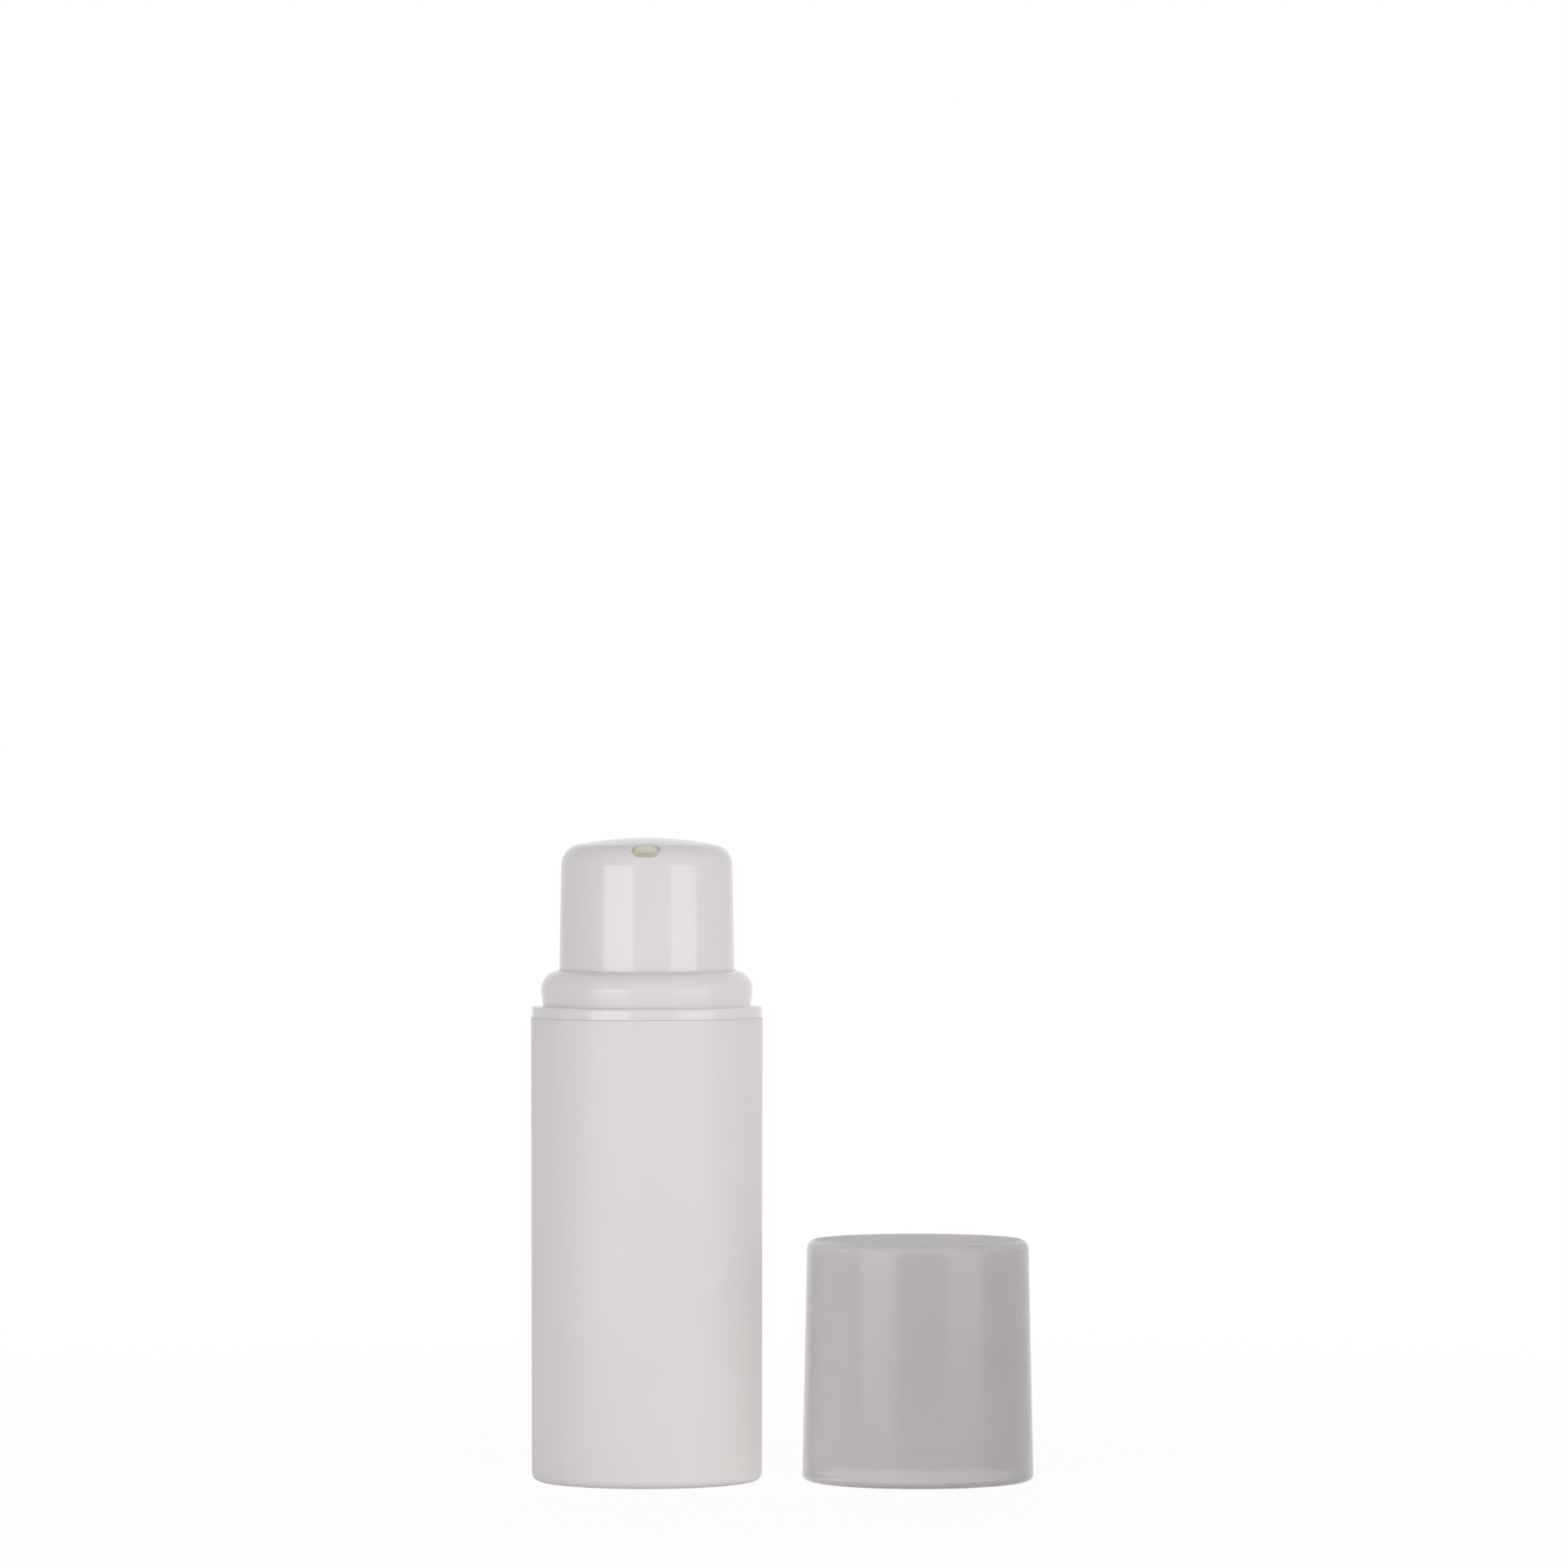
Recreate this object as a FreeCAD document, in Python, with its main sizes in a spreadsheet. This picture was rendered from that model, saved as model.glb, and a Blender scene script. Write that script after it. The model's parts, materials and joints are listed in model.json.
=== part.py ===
import FreeCAD, Part
import math
import os
import re

import Sketcher

# An airless pump bottle of about 15 ml, with its cap taken off and stood beside it.
# Lengths are millimetres, and the head's draft and the nozzle channel's tilt are degrees.
# Z is the bottle's axis, z = 0 is the surface that it stands on, and the nozzle points to -Y.

SIZES = {
    # Bottle: a moulded cup with a snap-in mouth and a hollow under its floor
    "body_diameter": 28.2,
    "body_height": 56.3,
    "body_draft": 0.1,
    "bottle_wall": 1.5,
    "floor_thickness": 1.2,
    "base_recess": 0.8,
    "foot_width": 1.6,
    "base_round": 1.0,
    "rim_round": 0.08,
    "seat_width": 0.5,
    "vent_diameter": 2.4,
    # Collar: plug in the bottle's mouth, shoulder over its rim, bead that holds the cap
    "plug_depth": 4.9,
    "plug_clearance": 0.05,
    "snap_depth": 2.5,
    "snap_height": 0.25,
    "snap_root": 0.8,
    "snap_crest": 0.3,
    "shoulder_height": 1.4,
    "shoulder_inset": 0.08,
    "shoulder_round": 0.3,
    "bead_height": 2.0,
    "crown_rise": 2.35,
    "crown_land": 0.05,
    "collar_wall": 1.8,
    "throat_depth": 3.0,
    "throat_relief": 0.7,
    # Cap
    "cap_height": 29.3,
    "cap_draft": 0.6,
    "cap_wall": 1.3,
    "cap_top": 1.1,
    "cap_side": 1.1,
    "cap_round": 1.1,
    "cap_inner_round": 0.6,
    "cap_mouth_round": 0.8,
    "cap_lead": 0.3,
    "cap_snap": 0.11,
    "cap_groove": 0.1,
    "cap_groove_height": 1.6,
    "cap_groove_ramp": 0.15,
    "neck_clearance": 0.15,
    "cap_gap": 4.8,
    # Pump housing, its gasket and the inlet valve
    "gasket_thickness": 1.0,
    "gasket_width": 1.5,
    "housing_flange": 1.4,
    "hub_height": 5.6,
    "chamber_diameter": 9.0,
    "chamber_wall": 1.1,
    "chamber_reserve": 0.5,
    "nose_wall": 1.0,
    "nose_drop": 2.4,
    "nose_slope": 1.6,
    "ball_diameter": 3.0,
    "ball_lift": 0.8,
    "ball_clearance": 0.05,
    "pocket_clearance": 0.5,
    "port_diameter": 1.6,
    "port_length": 1.0,
    "nub_overlap": 0.3,
    "nub_thickness": 0.6,
    "nub_width": 0.7,
    "nub_set": 0.1,
    "nub_root": 0.2,
    # Pump engine: chaplet, piston, rod and stem
    "stroke": 4.5,
    "lost_motion": 0.6,
    "rest_gap": 0.1,
    "chaplet_flange": 1.0,
    "chaplet_plug": 1.8,
    "stem_diameter": 4.8,
    "stem_wall": 1.0,
    "stem_clearance": 0.1,
    "piston_height": 4.0,
    "piston_web": 1.7,
    "piston_clearance": 0.04,
    "piston_waist": 0.4,
    "piston_lip": 0.7,
    "piston_taper": 0.5,
    "rod_flange_diameter": 6.8,
    "rod_flange": 1.0,
    "rod_neck_diameter": 3.2,
    "rod_clearance": 0.15,
    "shank_length": 4.0,
    "press_clearance": 0.02,
    "flute_width": 0.8,
    "flute_core": 0.7,
    "flute_end": 0.3,
    # Return spring
    "spring_diameter": 13.2,
    "spring_wire": 0.8,
    "spring_length": 14.1,
    "spring_turns": 6.0,
    "spring_closing": 0.4,
    "spring_seat_gap": 0.02,
    # Actuator and nozzle insert
    "head_height": 16.15,
    "head_gap": 0.15,
    "head_draft": 1.0,
    "head_wall": 1.1,
    "head_corner": 2.6,
    "head_crown": 0.75,
    "skirt_depth": 1.85,
    "spring_ring_width": 1.4,
    "socket_wall": 1.2,
    "socket_lead": 0.3,
    "socket_air": 1.0,
    "channel_tilt": 20.0,
    "orifice_depth": 1.47,
    "orifice_inset": 1.3,
    "orifice_width": 3.4,
    "orifice_height": 2.17,
    "orifice_round": 0.15,
    "nozzle_wall": 1.2,
    "insert_ledge": 0.4,
    "insert_length": 2.6,
    "insert_recess": 1.2,
    "slit_width": 1.8,
    "slit_height": 0.05,
    "passage_rise": 0.9,
    "stem_drop": 1.4,
    # Follower piston
    "follower_wall": 1.0,
    "follower_floor": 1.2,
    "follower_lip": 0.8,
    "follower_taper": 1.0,
    "follower_waist": 0.4,
    "follower_deck": 1.5,
    "follower_edge": 0.7,
    "follower_rest": 0.05,
    "wiper_clearance": 0.03,
    "well_side": 0.6,
    "well_end": 0.5,
}

NUB_COUNT = 4
FLUTE_COUNT = 3

# Radii and heights that follow from the sizes, in the order in which they build on each other
PLACES = {
    # Bottle
    "body_radius": "body_diameter / 2",
    "base_radius": "body_radius - body_draft",
    "foot_radius": "base_radius - base_round - foot_width",
    "bore_radius": "body_radius - bottle_wall",
    "mouth_radius": "bore_radius + seat_width",
    "floor_level": "base_recess + floor_thickness",
    "vent_radius": "vent_diameter / 2",
    # Stack under the collar, from the rim down
    "plug_foot": "body_height - plug_depth",
    "flange_under": "plug_foot - housing_flange",
    "seat_level": "flange_under - gasket_thickness",
    "plug_radius": "mouth_radius - plug_clearance",
    "snap_level": "body_height - snap_depth",
    "snap_radius": "plug_radius + snap_height",
    "snap_groove_radius": "snap_radius + plug_clearance",
    # Collar
    "shoulder_radius": "body_radius - shoulder_inset",
    "shoulder_top": "body_height + shoulder_height",
    "lip_radius": "body_radius - cap_wall",
    "bead_radius": "lip_radius + cap_snap",
    "neck_radius": "lip_radius - neck_clearance",
    "throat_radius": "neck_radius - collar_wall",
    "plug_bore": "throat_radius + throat_relief",
    "crest_radius": "throat_radius + crown_land",
    "bead_level": "shoulder_top + bead_height",
    "collar_top": "bead_level + crown_rise",
    "throat_foot": "collar_top - throat_depth",
    "crown_reach": "bead_radius - crest_radius",
    "crown_curve": "(crown_reach ^ 2 + crown_rise ^ 2) / (2 * crown_reach)",
    # Cap
    "cap_top_radius": "body_radius - cap_draft",
    "cap_bore_top": "cap_top_radius - cap_side",
    "cap_ceiling": "cap_height - cap_top",
    "cap_groove_radius": "bead_radius + cap_groove",
    "cap_groove_level": "bead_level - shoulder_top",
    "cap_groove_under": "cap_groove_level - cap_groove_height / 2",
    "cap_groove_over": "cap_groove_level + cap_groove_height / 2",
    "cap_place": "body_diameter + cap_gap",
    # Pump housing and the engine in it, from the hub down
    "hub_top": "plug_foot + hub_height",
    "chamber_radius": "chamber_diameter / 2",
    "chamber_skin": "chamber_radius + chamber_wall",
    "chaplet_top": "hub_top + chaplet_flange",
    "chaplet_foot": "hub_top - chaplet_plug",
    "chaplet_radius": "chamber_radius - plug_clearance",
    "stem_radius": "stem_diameter / 2",
    "stem_bore": "stem_radius - stem_wall",
    "guide_radius": "stem_radius + stem_clearance",
    "piston_top": "chaplet_foot - rest_gap",
    "piston_foot": "piston_top - piston_height",
    "piston_ledge": "piston_foot + piston_web",
    "piston_radius": "chamber_radius - piston_clearance",
    "piston_waist_radius": "piston_radius - piston_waist",
    "rod_neck": "rod_neck_diameter / 2",
    "web_radius": "rod_neck + rod_clearance",
    "valve_top": "piston_foot - rest_gap",
    "valve_foot": "valve_top - rod_flange",
    "stem_foot": "piston_ledge + lost_motion",
    "shank_radius": "stem_bore - press_clearance",
    "shank_top": "stem_foot + shank_length",
    "flute_length": "shank_top - valve_top - flute_end",
    "chamber_floor": "valve_foot - stroke - chamber_reserve",
    # Inlet valve
    "ball_radius": "ball_diameter / 2",
    "pocket_radius": "ball_radius + pocket_clearance",
    "nub_radius": "ball_radius - nub_overlap",
    "nub_foot": "chamber_floor - nub_set - nub_thickness",
    "nub_contact": "sqrt(ball_radius ^ 2 - nub_radius ^ 2)",
    "ball_level": "nub_foot - ball_clearance - nub_contact - ball_lift",
    "seat_apex": "ball_level - (ball_radius + ball_clearance) * sqrt(2)",
    "port_radius": "port_diameter / 2",
    "port_top": "seat_apex + port_radius",
    "seat_top": "seat_apex + pocket_radius",
    "housing_foot": "port_top - port_length",
    "nose_radius": "pocket_radius + nose_wall",
    "nose_top": "chamber_floor - nose_drop",
    # Follower piston, down on the bottle's floor
    "follower_foot": "floor_level + follower_rest",
    "well_depth": "seat_level - housing_foot + well_end",
    "well_floor": "follower_foot + follower_floor",
    "follower_top": "well_floor + well_depth",
    "deck_level": "follower_top - follower_deck",
    "deck_under": "deck_level - follower_wall",
    "wiper_radius": "bore_radius - wiper_clearance",
    "waist_radius": "wiper_radius - follower_waist",
    "skirt_bore": "waist_radius - follower_wall",
    "well_radius": "chamber_skin + well_side",
    "well_skin": "well_radius + follower_wall",
    # Actuator
    "head_top": "collar_top + head_height",
    "skirt_foot": "collar_top - skirt_depth",
    "head_foot_radius": "throat_radius - head_gap",
    "head_lean": "tan(head_draft * 1 deg)",
    "head_level": "cos(head_draft * 1 deg)",
    "head_tip": "sin(head_draft * 1 deg)",
    "corner_level": "head_top - head_corner - head_crown",
    "corner_wall": "head_foot_radius - head_lean * (corner_level - skirt_foot)",
    "corner_centre": "corner_wall - head_corner / head_level",
    "crown_radius": "head_corner + (corner_centre ^ 2 + head_crown ^ 2) / (2 * head_crown)",
    "crown_centre": "head_top - crown_radius",
    "crown_share": "1 / (crown_radius - head_corner)",
    "cavity_foot_radius": "head_foot_radius - head_wall / head_level",
    "cavity_corner": "head_corner - head_wall",
    "ceiling_radius": "crown_radius - head_wall",
    "spring_radius": "spring_diameter / 2",
    "spring_ring_bore": "spring_radius - spring_ring_width / 2",
    "spring_ring_skin": "spring_radius + spring_ring_width / 2",
    "spring_ring_foot": "plug_foot + spring_length",
    "socket_bore": "stem_radius + press_clearance",
    "socket_skin": "stem_radius + socket_wall",
    "socket_foot": "chaplet_top + stroke + socket_air",
    "orifice_radius": "corner_wall - orifice_inset",
    "channel_level": "head_top - orifice_depth - orifice_radius * tan(channel_tilt * 1 deg)",
    "stem_top": "channel_level - stem_drop",
    "passage_top": "channel_level + passage_rise",
    "nozzle_width": "orifice_width + 2 * nozzle_wall",
    "nozzle_height": "orifice_height + 2 * nozzle_wall",
    "channel_width": "orifice_width - 2 * insert_ledge",
    "channel_height": "orifice_height - 2 * insert_ledge",
    "insert_front": "orifice_radius / cos(channel_tilt * 1 deg) - insert_recess",
    "insert_back": "insert_front - insert_length",
    "insert_width": "orifice_width - 2 * press_clearance",
    "insert_height": "orifice_height - 2 * press_clearance",
}

EDGE_TOLERANCE = 0.001
EDGE_SAMPLES = 7
GAP_SAMPLES_PER_TURN = 72

document = FreeCAD.newDocument("airless_pump_bottle")
sheet = document.addObject("Spreadsheet::Sheet", "Sizes")
places = document.addObject("App::VarSet", "Places")
pieces = {}


def formula(text):
    """A formula in plain names, as the document reads it."""
    def qualified(match):
        name = match.group(0)
        if name in SIZES:
            return "Sizes." + name
        if name in PLACES:
            return "Places." + name
        return name
    return re.sub(r"[a-z][a-z_]*", qualified, text)


def number(text):
    """The present value of a formula in plain names."""
    return float(sheet.evalExpression(formula(text)))


def fill_tables():
    for row, (name, value) in enumerate(SIZES.items(), start=1):
        sheet.set(f"A{row}", name)
        sheet.set(f"B{row}", str(value))
        sheet.setAlias(f"B{row}", name)
    document.recompute()
    for name, text in PLACES.items():
        places.addProperty("App::PropertyFloat", name)
        places.setExpression(name, formula(text))
    document.recompute()


def new_body(label):
    body = document.addObject("PartDesign::Body", label)
    body.Label = label
    return body


def origin_feature(body, role):
    return next(item for item in body.Origin.OriginFeatures if item.Role == role)


def new_sketch(body, name, role):
    sketch = body.newObject("Sketcher::SketchObject", name)
    sketch.AttachmentSupport = [(origin_feature(body, role), "")]
    sketch.MapMode = "FlatFace"
    return sketch


def bound(sketch, constraint, text):
    """Add a dimension to a sketch and tie it to a formula."""
    index = sketch.addConstraint(constraint)
    sketch.setExpression(f"Constraints[{index}]", formula(text))


def arc_between(start, end, radius):
    """The shorter arc that runs anticlockwise from start to end."""
    chord = end - start
    middle = (start + end) / 2
    rise = math.sqrt(radius ** 2 - (chord.Length / 2) ** 2)
    centre = middle + FreeCAD.Vector(-chord.y, chord.x, 0).normalize() * rise
    angles = [math.atan2(point.y - centre.y, point.x - centre.x) for point in (start, end)]
    circle = Part.Circle(centre, FreeCAD.Vector(0, 0, 1), radius)
    return Part.ArcOfCircle(circle, angles[0], angles[1])


def profile_sketch(body, name, points):
    """A closed half section: each point is a radius, a height and, before an arc, its radius."""
    sketch = new_sketch(body, name, "XZ_Plane")
    corners = [FreeCAD.Vector(number(point[0]), number(point[1]), 0) for point in points]
    for index, point in enumerate(points):
        start = corners[index]
        end = corners[(index + 1) % len(corners)]
        if len(point) == 3:
            sketch.addGeometry(arc_between(start, end, number(point[2])))
        else:
            sketch.addGeometry(Part.LineSegment(start, end))
    for index, point in enumerate(points):
        following = (index + 1) % len(points)
        sketch.addConstraint(Sketcher.Constraint("Coincident", index, 2, following, 1))
    for index, point in enumerate(points):
        corner = corners[index]
        if point[0] == "0":
            sketch.addConstraint(Sketcher.Constraint("PointOnObject", index, 1, -2))
        else:
            bound(sketch, Sketcher.Constraint("DistanceX", -1, 1, index, 1, corner.x), point[0])
        if point[1] == "0":
            sketch.addConstraint(Sketcher.Constraint("PointOnObject", index, 1, -1))
        else:
            bound(sketch, Sketcher.Constraint("DistanceY", -1, 1, index, 1, corner.y), point[1])
        if len(point) == 3:
            bound(sketch, Sketcher.Constraint("Radius", index, number(point[2])), point[2])
    return sketch


def turned(body, name, points, kind="Revolution"):
    """Turn a half section about the axis, as a Revolution or as a Groove."""
    sketch = profile_sketch(body, name + "_profile", points)
    feature = body.newObject("PartDesign::" + kind, name)
    feature.Profile = sketch
    feature.ReferenceAxis = (sketch, ["V_Axis"])
    feature.Angle = 360
    document.recompute()
    return feature


def rectangle_sketch(body, name, near, far, width, level):
    """A rectangle across the X axis, from near to far along it, at a height."""
    sketch = new_sketch(body, name, "XY_Plane")
    sketch.setExpression("AttachmentOffset.Base.z", formula(level))
    left, right, half = number(near), number(far), number(width) / 2
    corners = [(left, -half), (right, -half), (right, half), (left, half)]
    corners = [FreeCAD.Vector(x, y, 0) for x, y in corners]
    for index in range(4):
        sketch.addGeometry(Part.LineSegment(corners[index], corners[(index + 1) % 4]))
    for index in range(4):
        sketch.addConstraint(Sketcher.Constraint("Coincident", index, 2, (index + 1) % 4, 1))
    for index, direction in enumerate(("Horizontal", "Vertical", "Horizontal", "Vertical")):
        sketch.addConstraint(Sketcher.Constraint(direction, index))
    bound(sketch, Sketcher.Constraint("DistanceX", -1, 1, 0, 1, left), near)
    bound(sketch, Sketcher.Constraint("DistanceX", -1, 1, 0, 2, right), far)
    bound(sketch, Sketcher.Constraint("DistanceY", -1, 1, 1, 2, half), f"({width}) / 2")
    bound(sketch, Sketcher.Constraint("DistanceY", 1, 1, 1, 2, 2 * half), width)
    return sketch


def slot_sketch(body, name, width, height, along):
    """A slot with round ends, square to the nozzle's channel and so far along it."""
    sketch = new_sketch(body, name, "XZ_Plane")
    tilt = FreeCAD.Rotation(FreeCAD.Vector(-1, 0, 0), number("channel_tilt"))
    sketch.AttachmentOffset = FreeCAD.Placement(FreeCAD.Vector(), tilt)
    sketch.setExpression("AttachmentOffset.Rotation.Angle", formula("channel_tilt * 1 deg"))
    rise = f"channel_level + ({along}) * sin(channel_tilt * 1 deg)"
    sketch.setExpression("AttachmentOffset.Base.y", formula(rise))
    reach = f"({along}) * cos(channel_tilt * 1 deg)"
    sketch.setExpression("AttachmentOffset.Base.z", formula(reach))
    radius = number(height) / 2
    centre = number(width) / 2 - radius
    right = Part.Circle(FreeCAD.Vector(centre, 0, 0), FreeCAD.Vector(0, 0, 1), radius)
    left = Part.Circle(FreeCAD.Vector(-centre, 0, 0), FreeCAD.Vector(0, 0, 1), radius)
    top = [FreeCAD.Vector(-centre, radius, 0), FreeCAD.Vector(centre, radius, 0)]
    bottom = [FreeCAD.Vector(centre, -radius, 0), FreeCAD.Vector(-centre, -radius, 0)]
    sketch.addGeometry(Part.LineSegment(*top))
    sketch.addGeometry(Part.ArcOfCircle(right, -math.pi / 2, math.pi / 2))
    sketch.addGeometry(Part.LineSegment(*bottom))
    sketch.addGeometry(Part.ArcOfCircle(left, math.pi / 2, 3 * math.pi / 2))
    for line, line_end, arc, arc_end in ((0, 2, 1, 2), (2, 1, 1, 1), (2, 2, 3, 2), (0, 1, 3, 1)):
        sketch.addConstraint(Sketcher.Constraint("Tangent", line, line_end, arc, arc_end))
    sketch.addConstraint(Sketcher.Constraint("Equal", 1, 3))
    sketch.addConstraint(Sketcher.Constraint("Symmetric", 1, 3, 3, 3, -1, 1))
    sketch.addConstraint(Sketcher.Constraint("PointOnObject", 1, 3, -1))
    bound(sketch, Sketcher.Constraint("Radius", 1, radius), f"({height}) / 2")
    bound(sketch, Sketcher.Constraint("DistanceX", 3, 3, 1, 3, 2 * centre), f"({width}) - ({height})")
    return sketch


def pocket(body, name, sketch, length=None, along_normal=False):
    """Cut a sketch through all that lies on one side of it, or to a length."""
    before = body.Tip.Shape.Volume
    feature = body.newObject("PartDesign::Pocket", name)
    feature.Profile = sketch
    feature.Reversed = along_normal
    if length is None:
        feature.Type = "ThroughAll"
    else:
        feature.setExpression("Length", formula(length))
    document.recompute()
    if feature.Shape.Volume >= before:
        raise RuntimeError(name + " cuts nothing")
    return feature


def pad(body, name, sketch, length):
    feature = body.newObject("PartDesign::Pad", name)
    feature.Profile = sketch
    feature.setExpression("Length", formula(length))
    document.recompute()
    return feature


def around_axis(body, name, feature, count):
    """Repeat a feature evenly round the axis."""
    pattern = body.newObject("PartDesign::PolarPattern", name)
    pattern.Originals = [feature]
    pattern.Axis = (origin_feature(body, "Z_Axis"), [""])
    pattern.Angle = 360
    pattern.Occurrences = count
    body.Tip = pattern
    document.recompute()
    return pattern


def ring_edges(feature, rings):
    """Names of the circular edges with the given radii and heights, centred on the axis."""
    names = []
    for index, edge in enumerate(feature.Shape.Edges, start=1):
        if edge.Degenerated or not isinstance(edge.Curve, Part.Circle):
            continue
        centre = edge.Curve.Center
        for radius, level in rings:
            misses = [edge.Curve.Radius - number(radius), centre.z - number(level), centre.x, centre.y]
            if max(abs(miss) for miss in misses) < EDGE_TOLERANCE:
                names.append(f"Edge{index}")
    if len(names) < len(rings):
        raise RuntimeError("an edge to round is missing on " + feature.Name)
    return names


def rounded(body, name, edges, radius):
    """Round edges of the body's latest feature."""
    base = body.Tip
    feature = body.newObject("PartDesign::Fillet", name)
    feature.Base = (base, edges)
    feature.setExpression("Radius", formula(radius))
    document.recompute()
    return feature


def rounded_rings(body, name, rings, radius):
    return rounded(body, name, ring_edges(body.Tip, rings), radius)


def make_bottle():
    body = new_body("bottle")
    root = "(snap_root + plug_clearance)"
    crest = "(snap_crest + plug_clearance)"
    turned(body, "bottle_cup", [
        ("foot_radius", "0"),
        ("base_radius", "0"),
        ("body_radius", "body_height"),
        ("mouth_radius", "body_height"),
        ("mouth_radius", "snap_level + " + root),
        ("snap_groove_radius", "snap_level + " + crest),
        ("snap_groove_radius", "snap_level - " + crest),
        ("mouth_radius", "snap_level - " + root),
        ("mouth_radius", "seat_level"),
        ("bore_radius", "seat_level"),
        ("bore_radius", "floor_level"),
        ("vent_radius", "floor_level"),
        ("vent_radius", "base_recess"),
        ("foot_radius", "base_recess"),
    ])
    rounded_rings(body, "bottle_base_round", [("base_radius", "0")], "base_round")
    rounded_rings(body, "bottle_rim_round", [("body_radius", "body_height")], "rim_round")
    pieces["bottle"] = body


def make_follower_piston():
    body = new_body("follower_piston")
    lip_and_taper = "(follower_lip + follower_taper)"
    turned(body, "follower_shell", [
        ("0", "follower_foot"),
        ("well_skin", "follower_foot"),
        ("well_skin", "deck_under"),
        ("skirt_bore", "deck_under"),
        ("skirt_bore", "follower_foot"),
        ("wiper_radius", "follower_foot"),
        ("wiper_radius", "follower_foot + follower_lip"),
        ("waist_radius", "follower_foot + " + lip_and_taper),
        ("waist_radius", "follower_top - " + lip_and_taper),
        ("wiper_radius", "follower_top - follower_lip"),
        ("wiper_radius", "follower_top"),
        ("wiper_radius - follower_edge", "follower_top"),
        ("skirt_bore", "deck_level"),
        ("well_radius", "deck_level"),
        ("well_radius", "well_floor"),
        ("0", "well_floor"),
    ])
    pieces["follower_piston"] = body


def make_housing_gasket():
    body = new_body("housing_gasket")
    turned(body, "gasket_washer", [
        ("plug_radius - gasket_width", "seat_level"),
        ("plug_radius", "seat_level"),
        ("plug_radius", "flange_under"),
        ("plug_radius - gasket_width", "flange_under"),
    ])
    pieces["housing_gasket"] = body


def make_pump_housing():
    body = new_body("pump_housing")
    turned(body, "housing_cup", [
        ("port_radius", "housing_foot"),
        ("nose_radius", "housing_foot"),
        ("nose_radius", "nose_top"),
        ("chamber_skin", "nose_top + nose_slope"),
        ("chamber_skin", "flange_under"),
        ("plug_radius", "flange_under"),
        ("plug_radius", "plug_foot"),
        ("chamber_skin", "plug_foot"),
        ("chamber_skin", "hub_top"),
        ("chamber_radius", "hub_top"),
        ("chamber_radius", "chamber_floor"),
        ("pocket_radius", "chamber_floor"),
        ("pocket_radius", "seat_top"),
        ("port_radius", "port_top"),
    ])
    sketch = rectangle_sketch(body, "nub_outline", "nub_radius", "pocket_radius + nub_root",
                              "nub_width", "nub_foot")
    nub = pad(body, "nub", sketch, "nub_thickness")
    around_axis(body, "nubs", nub, NUB_COUNT)
    pieces["pump_housing"] = body


def make_inlet_ball():
    ball = document.addObject("Part::Sphere", "inlet_ball")
    ball.setExpression("Radius", formula("ball_radius"))
    ball.setExpression("Placement.Base.z", formula("ball_level"))
    pieces["inlet_ball"] = ball


def make_chaplet():
    body = new_body("chaplet")
    turned(body, "chaplet_ring", [
        ("guide_radius", "chaplet_foot"),
        ("chaplet_radius", "chaplet_foot"),
        ("chaplet_radius", "hub_top"),
        ("chamber_skin", "hub_top"),
        ("chamber_skin", "chaplet_top"),
        ("guide_radius", "chaplet_top"),
    ])
    pieces["chaplet"] = body


def make_pump_piston():
    body = new_body("pump_piston")
    lip_and_taper = "(piston_lip + piston_taper)"
    turned(body, "piston_sleeve", [
        ("web_radius", "piston_foot"),
        ("piston_radius", "piston_foot"),
        ("piston_radius", "piston_foot + piston_lip"),
        ("piston_waist_radius", "piston_foot + " + lip_and_taper),
        ("piston_waist_radius", "piston_top - " + lip_and_taper),
        ("piston_radius", "piston_top - piston_lip"),
        ("piston_radius", "piston_top"),
        ("guide_radius", "piston_top"),
        ("guide_radius", "piston_ledge"),
        ("web_radius", "piston_ledge"),
    ])
    pieces["pump_piston"] = body


def make_piston_rod():
    body = new_body("piston_rod")
    turned(body, "rod_turning", [
        ("0", "valve_foot"),
        ("rod_flange_diameter / 2", "valve_foot"),
        ("rod_flange_diameter / 2", "valve_top"),
        ("rod_neck", "valve_top"),
        ("rod_neck", "stem_foot"),
        ("shank_radius", "stem_foot"),
        ("shank_radius", "shank_top"),
        ("0", "shank_top"),
    ])
    sketch = rectangle_sketch(body, "flute_outline", "flute_core", "rod_neck + flute_core",
                              "flute_width", "shank_top")
    flute = pocket(body, "flute", sketch, "flute_length")
    around_axis(body, "flutes", flute, FLUTE_COUNT)
    pieces["piston_rod"] = body


def make_stem():
    body = new_body("stem")
    turned(body, "stem_tube", [
        ("stem_bore", "stem_foot"),
        ("stem_radius", "stem_foot"),
        ("stem_radius", "stem_top"),
        ("stem_bore", "stem_top"),
    ])
    pieces["stem"] = body


def make_collar():
    body = new_body("collar")
    turned(body, "collar_ring", [
        ("plug_bore", "plug_foot"),
        ("plug_radius", "plug_foot"),
        ("plug_radius", "snap_level - snap_root"),
        ("snap_radius", "snap_level - snap_crest"),
        ("snap_radius", "snap_level + snap_crest"),
        ("plug_radius", "snap_level + snap_root"),
        ("plug_radius", "body_height"),
        ("shoulder_radius", "body_height"),
        ("shoulder_radius", "shoulder_top"),
        ("neck_radius", "shoulder_top"),
        ("bead_radius", "bead_level", "crown_curve"),
        ("crest_radius", "collar_top"),
        ("throat_radius", "collar_top"),
        ("throat_radius", "throat_foot"),
        ("plug_bore", "throat_foot - throat_relief"),
    ])
    rounded_rings(body, "shoulder_edge", [("shoulder_radius", "shoulder_top")], "shoulder_round")
    rounded_rings(body, "shoulder_under", [("shoulder_radius", "body_height")], "rim_round")
    pieces["collar"] = body


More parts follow.
